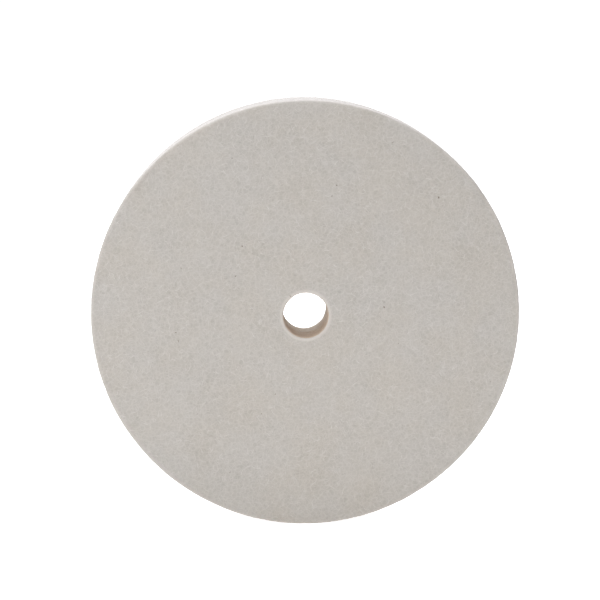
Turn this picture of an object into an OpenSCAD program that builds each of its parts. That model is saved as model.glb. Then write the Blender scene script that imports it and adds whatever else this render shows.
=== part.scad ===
// Hard felt polishing wheel: one pressed-felt disc with a plain arbor hole.
// The wheel stands upright. Its axis is Y, its working face looks along -Y,
// and the origin is at the centre of the arbor hole, halfway through the felt.

/* [Wheel] */
// Outside diameter of the felt
wheel_d = 152; // [100:1:400]
// Thickness of the felt, from face to face
wheel_t = 22; // [10:1:60]
// Radius of the softened corner between each face and the rim
edge_r = 0.9; // [0.2:0.1:3]

/* [Arbor hole] */
// Diameter of the hole, a clearance fit on the arbor
bore_d = 16; // [8:0.5:40]
// Radius of the softened lip at each end of the hole
lip_r = 0.8; // [0.2:0.1:3]

/* [Hidden] */
wheel_r = wheel_d / 2;
bore_r = bore_d / 2;
half_t = wheel_t / 2;
$fn = 180;

// A ring's section, radius along x and thickness along y, with one corner
// radius on its inner side and another on its outer side.
module ring_section(inner_r, outer_r, half_thick, inner_corner, outer_corner) {
  translate([inner_r + inner_corner, -half_thick])
    square([outer_r - outer_corner - inner_r - inner_corner, 2 * half_thick]);
  side_of_section(inner_r + inner_corner, half_thick, inner_corner);
  side_of_section(outer_r - outer_corner, half_thick, outer_corner);
}

// A straight strip with a quarter-round at each end, centred on radius at_r.
module side_of_section(at_r, half_thick, corner_r) {
  straight = 2 * (half_thick - corner_r);
  translate([at_r - corner_r, -straight / 2])
    square([2 * corner_r, straight]);
  for (end = [-1, 1])
    translate([at_r, end * straight / 2])
      circle(r = corner_r);
}

module felt_disc() {
  color([0.76, 0.74, 0.71])
    rotate([-90, 0, 0])
      rotate_extrude()
        ring_section(bore_r, wheel_r, half_t, lip_r, edge_r);
}

felt_disc();
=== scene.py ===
"""Looks of the felt polishing wheel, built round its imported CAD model.

The CAD disc gives every size. It is replaced by a felt body with a pressed, fibrous relief,
and by the wool fibres that lie on its faces, over its edges, round its rim and in its arbor hole.
"""

import math

import bpy
import numpy as np
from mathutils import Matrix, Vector, noise


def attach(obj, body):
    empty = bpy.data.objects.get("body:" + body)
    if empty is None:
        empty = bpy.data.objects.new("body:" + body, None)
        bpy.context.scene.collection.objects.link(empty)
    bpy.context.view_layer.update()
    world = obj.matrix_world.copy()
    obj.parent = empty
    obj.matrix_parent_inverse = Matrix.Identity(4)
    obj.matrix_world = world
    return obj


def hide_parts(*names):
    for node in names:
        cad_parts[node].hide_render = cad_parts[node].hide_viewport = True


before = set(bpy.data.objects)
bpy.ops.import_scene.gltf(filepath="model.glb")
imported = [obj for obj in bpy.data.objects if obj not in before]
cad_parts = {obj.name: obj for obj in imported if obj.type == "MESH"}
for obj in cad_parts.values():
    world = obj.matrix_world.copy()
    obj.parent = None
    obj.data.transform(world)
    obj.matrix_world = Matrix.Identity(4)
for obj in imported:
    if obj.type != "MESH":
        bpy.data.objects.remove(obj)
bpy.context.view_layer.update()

MM = 0.001
QUARTER_TURN = math.pi / 2
FULL_TURN = 2 * math.pi

# ---------------------------------------------------------------------------
# Sizes, read from the CAD disc. Its axis is Y and its centre is the origin.
# ---------------------------------------------------------------------------

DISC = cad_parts["felt_disc"]
DISC_POINTS = np.array([vertex.co for vertex in DISC.data.vertices])
DISC_RADII = np.hypot(DISC_POINTS[:, 0], DISC_POINTS[:, 2])
ON_THE_FACE = 0.01 * MM

WHEEL_R = DISC_RADII.max()
BORE_R = DISC_RADII.min()
HALF_T = DISC_POINTS[:, 1].max()
FACE_RADII = DISC_RADII[np.abs(np.abs(DISC_POINTS[:, 1]) - HALF_T) < ON_THE_FACE]
EDGE_R = WHEEL_R - FACE_RADII.max()
LIP_R = FACE_RADII.min() - BORE_R


# ---------------------------------------------------------------------------
# The wheel's outline, as one closed line that is turned about the axis.
# A place on the surface is (along, turn, height): the distance along that
# line, the angle about the axis, and the height above the felt.
# ---------------------------------------------------------------------------

SAMPLE = 0.1 * MM


def straight(start, end):
    """Points of (radius, y, normal radius, normal y) along a straight stretch, end left out."""
    start, end = np.array(start), np.array(end)
    length = np.linalg.norm(end - start)
    count = round(length / SAMPLE)
    way = (end - start) / length
    places = start + (np.arange(count) / count)[:, None] * (end - start)
    return np.hstack([places, np.tile([-way[1], way[0]], (count, 1))])


def corner(centre, radius, from_deg, to_deg):
    """Points of (radius, y, normal radius, normal y) round a quarter circle, end left out."""
    count = round(radius * QUARTER_TURN / SAMPLE)
    angles = np.radians(np.linspace(from_deg, to_deg, count, endpoint=False))
    out = np.stack([np.cos(angles), np.sin(angles)], axis=1)
    return np.hstack([np.array(centre) + radius * out, out])


def outline():
    """The whole line, from the middle of the hole over the back face, the rim and the front face."""
    lip, edge = BORE_R + LIP_R, WHEEL_R - EDGE_R
    lip_y, edge_y = HALF_T - LIP_R, HALF_T - EDGE_R
    return np.vstack(
        [
            straight((BORE_R, 0), (BORE_R, lip_y)),
            corner((lip, lip_y), LIP_R, 180, 90),
            straight((lip, HALF_T), (edge, HALF_T)),
            corner((edge, edge_y), EDGE_R, 90, 0),
            straight((WHEEL_R, edge_y), (WHEEL_R, -edge_y)),
            corner((edge, -edge_y), EDGE_R, 0, -90),
            straight((edge, -HALF_T), (lip, -HALF_T)),
            corner((lip, -lip_y), LIP_R, -90, -180),
            straight((BORE_R, -lip_y), (BORE_R, 0)),
        ]
    )


OUTLINE = outline()
STEPS = np.linalg.norm(np.diff(OUTLINE[:, :2], axis=0, append=OUTLINE[:1, :2]), axis=1)
ALONG = np.concatenate([[0], np.cumsum(STEPS)])
LENGTH = ALONG[-1]
WRAPPED = np.vstack([OUTLINE, OUTLINE[:1]])

# Where each stretch of the line begins.
HOLE_WALL = HALF_T - LIP_R
BACK_FROM = HOLE_WALL + LIP_R * QUARTER_TURN
FACE_WIDTH = WHEEL_R - EDGE_R - BORE_R - LIP_R
BACK_TO = BACK_FROM + FACE_WIDTH
RIM_FROM = BACK_TO + EDGE_R * QUARTER_TURN
RIM_TO = RIM_FROM + 2 * (HALF_T - EDGE_R)
FRONT_FROM = RIM_TO + EDGE_R * QUARTER_TURN
FRONT_TO = FRONT_FROM + FACE_WIDTH


def on_outline(along, column):
    """One column of the outline (radius, y, normal radius or normal y) at each distance along it."""
    return np.interp(np.mod(along, LENGTH), ALONG, WRAPPED[:, column])


def surface(along, turn, height):
    """Places in the row frame for (along, turn, height), each an array of the same shape."""
    radius = on_outline(along, 0) + on_outline(along, 2) * height
    y = on_outline(along, 1) + on_outline(along, 3) * height
    return np.stack([radius * np.cos(turn), y, radius * np.sin(turn)], axis=-1)


# ---------------------------------------------------------------------------
# Relief of the pressed felt
# ---------------------------------------------------------------------------

# The width of each kind of swelling, and how high it stands.
CLOUD, BUNDLE, PIT = 14 * MM, 2.6 * MM, 1.5 * MM
CLOUD_H, BUNDLE_H, PIT_H = 0.05 * MM, 0.06 * MM, 0.05 * MM
BUNDLE_TWIST = 0.8

# noise_vector takes its offsets from the clock until a seed is set, and the relief has to be the same
# in every run.
RELIEF_SEED = 7
noise.seed_set(RELIEF_SEED)


def relief_at(place):
    """Height of the felt at one place: slow swells, crests of pressed fibre bundles, and small pits."""
    cloud = noise.noise(place / CLOUD)
    twist = noise.noise_vector(place / (2 * BUNDLE)) * BUNDLE_TWIST
    crest = 1 - 2 * abs(noise.noise(place / BUNDLE + twist))
    pit = noise.noise(place / PIT)
    return CLOUD_H * cloud + BUNDLE_H * crest + PIT_H * pit


def relief(places):
    """Height of the felt at every one of many places."""
    heights = np.array([relief_at(Vector(place)) for place in places.reshape(-1, 3).tolist()])
    return heights.reshape(places.shape[:-1])


# ---------------------------------------------------------------------------
# The felt body
# ---------------------------------------------------------------------------


def mesh_piece(name, places, faces, material, tones):
    """A smooth piece in the row frame, riding on the wheel, with a tone at each point for its material."""
    mesh = bpy.data.meshes.new(name)
    mesh.from_pydata(places.reshape(-1, 3).tolist(), [], faces)
    mesh.update()
    mesh.polygons.foreach_set("use_smooth", np.ones(len(mesh.polygons), bool))
    attribute = mesh.attributes.new("tone", "FLOAT", "POINT")
    attribute.data.foreach_set("value", tones.astype(np.float32).ravel())
    mesh.materials.append(material)
    piece = bpy.data.objects.new(name, mesh)
    bpy.context.scene.collection.objects.link(piece)
    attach(piece, "root")
    return piece


# How far apart the body's points lie, on the outside and in the hole, and the radius where one gives
# way to the other.
GRID, FINE_GRID = 0.76 * MM, 0.4 * MM
FINE_WITHIN = BORE_R + 2 * LIP_R

# Round a corner, the rings are its radius over this apart.
RINGS_PER_RADIUS = 4

# How far a point strays from its even place on its ring, as a share of the gap between them.
STRAY = 0.12
BODY_SEED = 11


def ring_places():
    """Where the body's rings lie along the outline: close together in the hole and round the corners."""
    stretches = [
        (0, HOLE_WALL, FINE_GRID),
        (HOLE_WALL, BACK_FROM, LIP_R / RINGS_PER_RADIUS),
        (BACK_FROM, BACK_TO, GRID),
        (BACK_TO, RIM_FROM, EDGE_R / RINGS_PER_RADIUS),
        (RIM_FROM, RIM_TO, GRID),
        (RIM_TO, FRONT_FROM, EDGE_R / RINGS_PER_RADIUS),
        (FRONT_FROM, FRONT_TO, GRID),
        (FRONT_TO, LENGTH - HOLE_WALL, LIP_R / RINGS_PER_RADIUS),
        (LENGTH - HOLE_WALL, LENGTH, FINE_GRID),
    ]
    rings = []
    for start, end, gap in stretches:
        rings.extend(np.linspace(start, end, math.ceil((end - start) / gap), endpoint=False))
    return rings


def bridge(first, first_count, second, second_count):
    """Triangles between two rings whose point counts may differ, each ring beginning at the same turn."""
    triangles = []
    i = j = 0
    while i < first_count or j < second_count:
        here, there = first + i % first_count, second + j % second_count
        if (i + 1) * second_count <= (j + 1) * first_count:
            i += 1
            triangles.append((here, first + i % first_count, there))
        else:
            j += 1
            triangles.append((here, second + j % second_count, there))
    return triangles


def felt_body(material):
    """The disc itself: rings of points pushed out by the relief, joined into one closed surface."""
    rng = np.random.default_rng(BODY_SEED)
    along, turn, starts, counts = [], [], [], []
    for place in ring_places():
        radius = float(on_outline(place, 0))
        gap = FINE_GRID if radius < FINE_WITHIN else GRID
        count = round(FULL_TURN * radius / gap)
        starts.append(sum(counts))
        counts.append(count)
        along.append(np.full(count, place))
        turn.append((np.arange(count) + rng.uniform(-STRAY, STRAY, count)) * FULL_TURN / count)
    along, turn = np.concatenate(along), np.concatenate(turn)
    heights = relief(surface(along, turn, np.zeros(len(along))))
    triangles = []
    for ring in range(len(starts)):
        following = (ring + 1) % len(starts)
        triangles += bridge(starts[ring], counts[ring], starts[following], counts[following])
    # The relief height, kept as each point's tone: the material uses it to paint shade into the hollows.
    tones = heights / (CLOUD_H + BUNDLE_H + PIT_H)
    piece = mesh_piece("felt_body", surface(along, turn, heights), triangles, material, tones)
    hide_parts("felt_disc")


# ---------------------------------------------------------------------------
# The wool fibres
# ---------------------------------------------------------------------------

# A strand has three rails, two sunk in the felt and one on top, with this many points on each
# between its two tips.
RAILS = 3
STATIONS = 5
SUNK = 0.04 * MM
RISE = (0.012 * MM, 0.05 * MM)

# How a strand bends over its length: a steady curl and a swing from side to side, in radians, and how
# fast the swing turns over from station to station.
CURL, SWING, SWING_RATE = 1.3, 1.9, 1.6

# The fibres of each place: least and greatest length and half width, and how far their heading
# strays from the way round the wheel.
FACE_WOOL = {"length": (0.9 * MM, 3.6 * MM), "half_width": (0.14 * MM, 0.23 * MM), "stray": math.pi}
RIM_WOOL = {"length": (2.0 * MM, 7.0 * MM), "half_width": (0.11 * MM, 0.18 * MM), "stray": 0.4}
BORE_WOOL = {"length": (1.5 * MM, 4.0 * MM), "half_width": (0.08 * MM, 0.14 * MM), "stray": 0.7}

# Each fibre piece: its name, where it begins and ends along the outline, how many fibres it has,
# its seed and its sizes.
FIBRES = [
    ("front_fibres", FRONT_FROM - EDGE_R, FRONT_TO + LIP_R, 6400, 21, FACE_WOOL),
    ("back_fibres", BACK_FROM - LIP_R, BACK_TO + EDGE_R, 6400, 22, FACE_WOOL),
    ("rim_fibres", RIM_FROM, RIM_TO, 2600, 23, RIM_WOOL),
    ("bore_fibres", -HOLE_WALL, HOLE_WALL, 500, 24, BORE_WOOL),
]

# Places drawn for each one kept.
DRAWS = 12

# Bits of dark plant matter left in the wool, one to so many fibres: short, much darker than the fibres,
# and broader by the number given.
FIBRES_PER_SPECK = 300
SPECK_LENGTH, SPECK_BREADTH, SPECK_TONE = 0.9 * MM, 1.3, -9.0


def draw_places(rng, start, end, count):
    """Random places along the outline, as many to each square millimetre at any radius."""
    tries = rng.uniform(start, end, DRAWS * count)
    radius = on_outline(tries, 0)
    return tries[rng.uniform(0, radius.max(), len(tries)) < radius][:count]


def fibres(name, material, start, end, count, seed, length, half_width, stray):
    """Fibres that lie in the felt between two places along the outline, as thin closed curled strands."""
    rng = np.random.default_rng(seed)
    specks = slice(count // FIBRES_PER_SPECK)
    along = draw_places(rng, start, end, count)
    turn = rng.uniform(0, FULL_TURN, count)
    heading = QUARTER_TURN + rng.uniform(-stray, stray, count)
    size = rng.uniform(*length, count)
    tone = rng.normal(0, 1, count)
    size[specks], tone[specks] = SPECK_LENGTH, SPECK_TONE
    curl = rng.normal(0, CURL, count)
    swing = rng.normal(0, SWING, count)
    phase = rng.uniform(0, FULL_TURN, count)
    step = size / (STATIONS + 1)
    path = []
    for station in range(STATIONS + 2):
        path.append(np.stack([along, turn, heading], axis=-1))
        radius = on_outline(along, 0)
        along = along + np.cos(heading) * step
        turn = turn + np.sin(heading) * step / radius
        bend = (curl + swing * np.cos(phase + SWING_RATE * station)) / size
        closing = np.sin(heading) * (on_outline(along, 0) - radius) / radius
        heading = heading + bend * step - closing
    rise = rng.uniform(*RISE, count)
    breadth = rng.uniform(*half_width, count)
    breadth[specks] *= SPECK_BREADTH
    strands = np.stack(path, axis=1)
    strand_piece(name, strands, breadth, rise, tone, material)


def strand_piece(name, strands, half_width, rise, tone, material):
    """One mesh of closed strands, each given as (along, turn, heading) from tip to tip."""
    along, turn, heading = strands[..., 0], strands[..., 1], strands[..., 2]
    base = relief(surface(along, turn, np.zeros(along.shape)))
    swell = np.sqrt(np.sin(math.pi * np.linspace(0, 1, STATIONS + 2)[1:-1]))
    across = half_width[:, None] * swell
    inner, ends = slice(1, -1), [0, -1]
    around = on_outline(along, 0)[:, inner]

    def rail(side, height):
        beside = along[:, inner] - side * np.sin(heading[:, inner]) * across
        turned = turn[:, inner] + side * np.cos(heading[:, inner]) * across / around
        return surface(beside, turned, base[:, inner] + height)

    rails = np.stack([rail(-1, -SUNK), rail(1, -SUNK), rail(0, rise[:, None] * swell)], axis=2)
    tips = surface(along[:, ends], turn[:, ends], base[:, ends] - SUNK)
    points = np.concatenate([rails.reshape(len(strands), -1, 3), tips], axis=1)
    each = points.shape[1]
    faces = []
    for first in range(0, len(strands) * each, each):
        faces += strand_faces(first)
    mesh_piece(name, points, faces, material, np.repeat(tone[:, None], each, axis=1))


def strand_faces(first):
    """Faces of one strand whose points begin at first: its stations, rail by rail, then its two tips."""
    tip = first + RAILS * STATIONS
    last = tip - RAILS
    faces = []
    for rail in range(RAILS):
        other = (rail + 1) % RAILS
        faces.append((tip, first + rail, first + other))
        for here in range(first, last, RAILS):
            there = here + RAILS
            faces.append((here + rail, there + rail, there + other, here + other))
        faces.append((last + rail, tip + 1, last + other))
    return faces


# ---------------------------------------------------------------------------
# Materials
# ---------------------------------------------------------------------------

WHITE = (1, 1, 1, 1)
FELT_LIGHT = (0.57, 0.538, 0.497, 1)
FELT_MID = (0.475, 0.444, 0.403, 1)
FELT_DARK = (0.385, 0.355, 0.315, 1)
# The pale colour of the painted highlights at the lips of the hole and round the rim.
HIGHLIGHT_CREAM = (0.60, 0.552, 0.50, 1)
SPECK = (0.16, 0.12, 0.09, 1)

# Tints, which multiply the colour.
WARM = (1.0, 0.985, 0.96, 1)
# The hole's wall: grey at the back, and a darker brown towards the front, which is painted shade.
HOLE_BACK_GREY = (0.96, 0.89, 0.80, 1)
HOLE_SHADE_BROWN = (0.93, 0.74, 0.56, 1)

# What every wool surface shares.
WOOL = {
    "Specular IOR Level": 0.25,
    "Sheen Weight": 0.6,
    "Sheen Roughness": 0.45,
    "Sheen Tint": (1.0, 0.97, 0.93, 1),
}

# The noise patterns. The layers are far wider along the faces than through the felt.
WARMTH = {"sizes": 16 * MM, "detail": 3.0}
MOTTLE = {"sizes": 2.4 * MM, "detail": 3.0, "rough": 0.6, "distortion": 1.2}
PORES = {"sizes": 1.1 * MM, "detail": 1.0, "distortion": 0.6}
GRAIN = {"sizes": 0.35 * MM, "detail": 3.0, "rough": 0.6}
STREAKS = {"sizes": 1.1 * MM}
# Patches that scatter where the painted shade in the hole begins.
HOLE_SHADE_PATCHES = {"sizes": 3.5 * MM, "detail": 3.0, "rough": 0.6}
LAYERS = {"sizes": (11 * MM, 1.1 * MM, 11 * MM), "detail": 3.0}

# The webs of hairs: how far apart the hairs are, and how far they are bent aside by a noise that is
# wider than that by BEND_WIDTH times.
WEB = {"size": 1.5 * MM, "bend": 1.6 * MM}
FINE_WEB = {"size": 0.7 * MM, "bend": 0.8 * MM}
BEND_WIDTH = 1.6

# How a pattern shows: its value where it begins and where it is full, then how strong it is at each.
WARMTH_SHOWS = (0.3, 0.7, 0, 1)
MOTTLE_SHOWS = (0.25, 0.75, 0, 1)
# The body's tone is its relief height: painted shade in the hollows, lighter on the crests.
HOLLOW_SHADE_SHOWS = (-0.6, 0.8, 0, 1)
PORES_SHOW = (0.42, 0.3, 0, 0.45)
LAYERS_SHOW = (0.5, 0.3, 0, 0.35)
WEB_SHOWS, FINE_WEB_SHOWS = 0.45, 0.2
THREAD_SHOWS = (0, 0.12, 1, 0)
FIBRE_TONE_SHOWS = (-1.5, 1.5, 0, 1)
STREAKS_SHOW = (0.35, 0.7, 0, 0.5)
SPECKS_SHOW = (SPECK_TONE / 2, SPECK_TONE / 2 - 1, 0, 1)
BODY_ROUGHNESS = (0.2, 0.8, 0.95, 0.82)
FIBRE_ROUGHNESS = (0.3, 0.7, 0.75, 0.9)

# The same for what depends on the place: the radius, and in the hole the depth.
# Painted highlight round the lips of the hole.
LIP_HIGHLIGHT_SHOWS = (BORE_R + 2.4 * LIP_R, BORE_R + 1.1 * LIP_R, 0, 0.7)
RIM_SHOWS = (WHEEL_R - 2 * EDGE_R, WHEEL_R - 0.3 * EDGE_R, 0, 1)
# How far the rim and the outer edges are lightened, a painted highlight.
RIM_HIGHLIGHT = 0.4
HOLE_SHOWS = (BORE_R + 0.35 * LIP_R, BORE_R + 0.05 * LIP_R, 0, 1)
# Painted shade in the hole: where along the axis the wall turns from grey to the darker brown, and how far
# the patches scatter that change.
HOLE_SHADE_SHOWS = (0.7 * HALF_T, -0.7 * HALF_T, 0, 1)
HOLE_SHADE_SCATTER = 3 * HALF_T

# How deep the bump is, and how far each pattern rises in it.
BUMP_DEPTH = 0.05 * MM
WEB_RISE, FINE_WEB_RISE, GRAIN_RISE, LAYER_RISE = 0.6, 0.4, 0.5, 1.5


class Nodes:
    """Short ways to add and join shader nodes in one material."""

    def __init__(self, name):
        self.material = bpy.data.materials.new(name)
        self.material.use_nodes = True
        self.tree = self.material.node_tree
        self.shader = self.tree.nodes["Principled BSDF"]
        self.place = self.add("ShaderNodeTexCoord").outputs["Object"]

    def add(self, kind, **settings):
        node = self.tree.nodes.new(kind)
        for key, value in settings.items():
            setattr(node, key, value)
        return node

    def feed(self, socket, value):
        """Join another node's output to a socket, or set the socket to a plain value."""
        if isinstance(value, bpy.types.NodeSocket):
            self.tree.links.new(value, socket)
        else:
            socket.default_value = value

    def math(self, operation, *values):
        node = self.add("ShaderNodeMath", operation=operation)
        for socket, value in zip(node.inputs, values):
            self.feed(socket, value)
        return node.outputs[0]

    def scaled(self, place, sizes):
        """place divided by a size along each axis, so that a pattern repeats about once in that size."""
        node = self.add("ShaderNodeVectorMath", operation="DIVIDE")
        self.feed(node.inputs[0], place)
        node.inputs[1].default_value = sizes
        return node.outputs[0]

    def noise(self, sizes, detail=2.0, rough=0.5, distortion=0.0):
        """Outputs of a soft noise as wide as sizes, which is one width or one for each axis."""
        node = self.add("ShaderNodeTexNoise")
        self.feed(node.inputs["Vector"], self.scaled(self.place, np.broadcast_to(sizes, 3)))
        node.inputs["Scale"].default_value = 1
        node.inputs["Detail"].default_value = detail
        node.inputs["Roughness"].default_value = rough
        node.inputs["Distortion"].default_value = distortion
        return node.outputs

    def ramp(self, value, begins, full, at_first, at_full):
        """A smooth change between two strengths while the value goes from begins to full."""
        node = self.add("ShaderNodeMapRange", interpolation_type="SMOOTHSTEP")
        for socket, number in zip(node.inputs, (value, begins, full, at_first, at_full)):
            self.feed(socket, number)
        return node.outputs[0]

    def mix(self, share, under, over, blend="MIX"):
        node = self.add("ShaderNodeMix", data_type="RGBA", blend_type=blend)
        self.feed(node.inputs[0], share)
        self.feed(node.inputs[6], under)
        self.feed(node.inputs[7], over)
        return node.outputs[2]

    def tone(self):
        """The tone that mesh_piece wrote at each point."""
        return self.add("ShaderNodeAttribute", attribute_name="tone").outputs["Fac"]

    def radius(self):
        """Distance from the wheel's axis."""
        flat = self.add("ShaderNodeVectorMath", operation="MULTIPLY")
        self.feed(flat.inputs[0], self.place)
        flat.inputs[1].default_value = (1, 0, 1)
        length = self.add("ShaderNodeVectorMath", operation="LENGTH")
        self.feed(length.inputs[0], flat.outputs[0])
        return length.outputs["Value"]

    def threads(self, size, bend):
        """A web of thin curled lines, 1 on a line and 0 between, about size apart."""
        bent = self.add("ShaderNodeVectorMath", operation="MULTIPLY_ADD")
        self.feed(bent.inputs[0], self.noise(BEND_WIDTH * size)["Color"])
        bent.inputs[1].default_value = (bend, bend, bend)
        self.feed(bent.inputs[2], self.place)
        cells = self.add("ShaderNodeTexVoronoi", feature="DISTANCE_TO_EDGE")
        self.feed(cells.inputs["Vector"], self.scaled(bent.outputs[0], (size, size, size)))
        cells.inputs["Scale"].default_value = 1
        return self.ramp(cells.outputs["Distance"], *THREAD_SHOWS)

    def layers(self):
        """The layers that the felt was pressed in."""
        return self.noise(**LAYERS)["Fac"]

    def hole_tint_and_shade(self):
        """The tint of the hole's wall, with painted shade: grey at the back, and browner and darker in
        patches towards the front, where less light reaches.
        """
        depth = self.add("ShaderNodeSeparateXYZ")
        self.feed(depth.inputs[0], self.place)
        patches = self.noise(**HOLE_SHADE_PATCHES)["Fac"]
        scatter = self.math("SUBTRACT", patches, 0.5)
        reach = self.math("MULTIPLY_ADD", scatter, HOLE_SHADE_SCATTER, depth.outputs["Y"])
        return self.mix(self.ramp(reach, *HOLE_SHADE_SHOWS), HOLE_BACK_GREY, HOLE_SHADE_BROWN)

    def edge_highlights_layers_and_hole_shade(self, colour):
        """The colour at the edges: painted highlights at the lips of the hole and round the rim, with the
        felt's layers showing round the rim, and painted shade inside the hole."""
        radius = self.radius()
        rim = self.ramp(radius, *RIM_SHOWS)
        # Painted highlights at the lips of the hole and round the rim.
        highlight = self.math("MAXIMUM", self.ramp(radius, *LIP_HIGHLIGHT_SHOWS), self.math("MULTIPLY", rim, RIM_HIGHLIGHT))
        colour = self.mix(highlight, colour, HIGHLIGHT_CREAM)
        layers = self.ramp(self.layers(), *LAYERS_SHOW)
        colour = self.mix(self.math("MULTIPLY", rim, layers), colour, FELT_DARK)
        # Painted shade inside the hole: the wall's colour multiplied by the grey and the darker brown.
        return self.mix(self.ramp(radius, *HOLE_SHOWS), colour, self.hole_tint_and_shade(), "MULTIPLY")

    def bump(self, *patterns):
        """A surface direction raised by each (pattern, rise)."""
        height = 0
        for pattern, rise in patterns:
            height = self.math("MULTIPLY_ADD", pattern, rise, height)
        node = self.add("ShaderNodeBump")
        node.inputs["Strength"].default_value = 1
        node.inputs["Distance"].default_value = BUMP_DEPTH
        self.feed(node.inputs["Height"], height)
        return node.outputs[0]

    def wool(self, colour, roughness):
        """Finish a wool material: its own colour and roughness, and what every wool surface shares."""
        self.feed(self.shader.inputs["Base Color"], colour)
        self.feed(self.shader.inputs["Roughness"], roughness)
        for socket, value in WOOL.items():
            self.shader.inputs[socket].default_value = value


def felt_material():
    """Pressed felt: mottled, with pores, a web of hairs and a slow drift between warm and neutral, painted
    shade in its hollows, painted highlights at the lips of the hole and round the rim, and painted shade
    inside the hole.
    """
    nodes = Nodes("pressed_felt")
    mottle = nodes.noise(**MOTTLE)["Fac"]
    pores = nodes.noise(**PORES)["Fac"]
    warmth = nodes.noise(**WARMTH)["Fac"]
    grain = nodes.noise(**GRAIN)["Fac"]
    web = nodes.threads(**WEB)
    fine_web = nodes.threads(**FINE_WEB)
    colour = nodes.mix(nodes.ramp(mottle, *MOTTLE_SHOWS), FELT_DARK, FELT_MID)
    # Painted shade: darker in the relief's hollows, lighter on its crests.
    colour = nodes.mix(nodes.ramp(nodes.tone(), *HOLLOW_SHADE_SHOWS), colour, FELT_MID)
    colour = nodes.mix(nodes.ramp(pores, *PORES_SHOW), colour, FELT_DARK)
    colour = nodes.mix(nodes.math("MULTIPLY", web, WEB_SHOWS), colour, FELT_LIGHT)
    colour = nodes.mix(nodes.math("MULTIPLY", fine_web, FINE_WEB_SHOWS), colour, FELT_LIGHT)
    tint = nodes.mix(nodes.ramp(warmth, *WARMTH_SHOWS), WARM, WHITE)
    # Painted highlights at the lips and the rim, and painted shade in the hole.
    colour = nodes.edge_highlights_layers_and_hole_shade(nodes.mix(1.0, colour, tint, "MULTIPLY"))
    nodes.wool(colour, nodes.ramp(mottle, *BODY_ROUGHNESS))
    raised = nodes.bump(
        (web, WEB_RISE),
        (fine_web, FINE_WEB_RISE),
        (grain, GRAIN_RISE),
        (nodes.layers(), LAYER_RISE),
    )
    nodes.feed(nodes.shader.inputs["Normal"], raised)
    return nodes.material


def fibre_material():
    """Single wool fibres: a tone of its own for each, pale streaks, the dark specks, and the same painted
    highlights and hole shade as the felt.
    """
    nodes = Nodes("wool_fibre")
    tone = nodes.tone()
    streaks = nodes.noise(**STREAKS)["Fac"]
    colour = nodes.mix(nodes.ramp(tone, *FIBRE_TONE_SHOWS), FELT_MID, FELT_LIGHT)
    colour = nodes.mix(nodes.ramp(streaks, *STREAKS_SHOW), colour, FELT_LIGHT)
    # Painted highlights at the lips and the rim and painted shade in the hole, then the dark specks.
    colour = nodes.mix(nodes.ramp(tone, *SPECKS_SHOW), nodes.edge_highlights_layers_and_hole_shade(colour), SPECK)
    nodes.wool(colour, nodes.ramp(streaks, *FIBRE_ROUGHNESS))
    return nodes.material


# ---------------------------------------------------------------------------
# The studio: a pale floor, soft lights and the camera
# ---------------------------------------------------------------------------

# Soft round lights that face the wheel: name, place and width in metres, watts, colour.
LIGHTS = [
    ("key", (-0.3, -0.48, 0.17), 0.4, 0.94, (0.965, 0.985, 1.01)),
    ("top", (-0.12, 0.05, 0.97), 0.8, 10.8, (0.97, 1.0, 1.1)),
    ("back", (0.15, 0.7, 0.7), 0.8, 4.1, (0.965, 1.0, 1.08)),
    ("bounce", (0.02, -0.09, -0.06), 0.03, 0.0036, (1.0, 0.95, 0.86)),
]

# How bright the surround and the floor are where the camera sees them, and as light on the wheel.
SKY_SEEN, SKY_LIT = 1.05, 0.36
FLOOR_SEEN, FLOOR_LIT = 0.85, 0.3

FLOOR_COLOUR = (0.85, 0.85, 0.85, 1)
FLOOR_ROUGHNESS = 0.9
FLOOR_R, FLOOR_SIDES = 8, 96


def seen_or_lit(tree, seen, lit):
    """A strength that is seen for the camera, and lit for the light that the thing gives."""
    path = tree.nodes.new("ShaderNodeLightPath")
    node = tree.nodes.new("ShaderNodeMix")
    node.inputs[2].default_value, node.inputs[3].default_value = lit, seen
    tree.links.new(path.outputs["Is Camera Ray"], node.inputs[0])
    return node.outputs[0]


def floor_material():
    nodes = Nodes("floor_white")
    inputs = nodes.shader.inputs
    inputs["Base Color"].default_value = FLOOR_COLOUR
    inputs["Roughness"].default_value = FLOOR_ROUGHNESS
    inputs["Emission Color"].default_value = WHITE
    nodes.feed(inputs["Emission Strength"], seen_or_lit(nodes.tree, FLOOR_SEEN, FLOOR_LIT))
    return nodes.material


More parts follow.
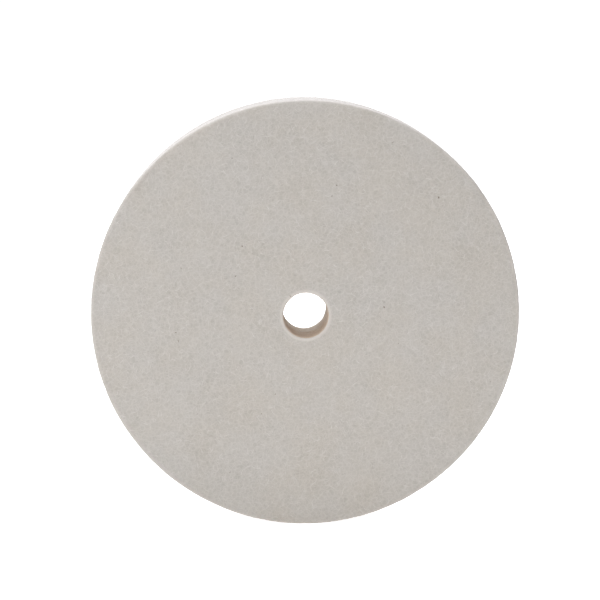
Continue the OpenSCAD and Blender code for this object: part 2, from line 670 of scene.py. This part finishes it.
def floor():
    """A wide round floor, level with the lowest point of the rim."""
    bpy.ops.mesh.primitive_circle_add(
        vertices=FLOOR_SIDES, radius=FLOOR_R, fill_type="NGON", location=(0, 0, -WHEEL_R)
    )
    ground = bpy.context.object
    ground.name = "floor"
    ground.data.materials.append(floor_material())


def area_light(name, place, size, watts, colour):
    data = bpy.data.lights.new(name, "AREA")
    data.shape = "DISK"
    data.size = size
    data.energy = watts
    data.color = colour
    lamp = bpy.data.objects.new(name, data)
    lamp.location = place
    lamp.rotation_euler = (-Vector(place)).to_track_quat("-Z", "Y").to_euler()
    lamp.visible_camera = False
    bpy.context.scene.collection.objects.link(lamp)


def studio():
    """A white surround and the lights."""
    world = bpy.data.worlds.new("studio")
    bpy.context.scene.world = world
    world.use_nodes = True
    sky = world.node_tree.nodes["Background"]
    sky.inputs["Color"].default_value = WHITE
    world.node_tree.links.new(seen_or_lit(world.node_tree, SKY_SEEN, SKY_LIT), sky.inputs["Strength"])
    for light in LIGHTS:
        area_light(*light)
    bpy.context.scene.view_settings.view_transform = "Standard"


CAMERA_DISTANCE = 9.5 * WHEEL_R
CAMERA_AZIMUTH, CAMERA_ELEVATION = math.radians(-1.9), math.radians(8.9)
LENS_MM = 120.4
SHIFT_X, SHIFT_Y = -0.008, 0.0179


def camera():
    """The photograph's view: a long lens a little above the wheel and to its left."""
    data = bpy.data.cameras.new("camera")
    data.lens = LENS_MM
    data.shift_x, data.shift_y = SHIFT_X, SHIFT_Y
    eye = bpy.data.objects.new("camera", data)
    level = math.cos(CAMERA_ELEVATION)
    back = Vector(
        (
            math.sin(CAMERA_AZIMUTH) * level,
            -math.cos(CAMERA_AZIMUTH) * level,
            math.sin(CAMERA_ELEVATION),
        )
    )
    eye.location = back * CAMERA_DISTANCE
    eye.rotation_euler = (-back).to_track_quat("-Z", "Y").to_euler()
    bpy.context.scene.collection.objects.link(eye)
    bpy.context.scene.camera = eye


# ---------------------------------------------------------------------------
# The model
# ---------------------------------------------------------------------------

camera()
studio()
floor()

felt_body(felt_material())
wool = fibre_material()
for name, start, end, count, seed, sizes in FIBRES:
    fibres(name, wool, start, end, count, seed, **sizes)
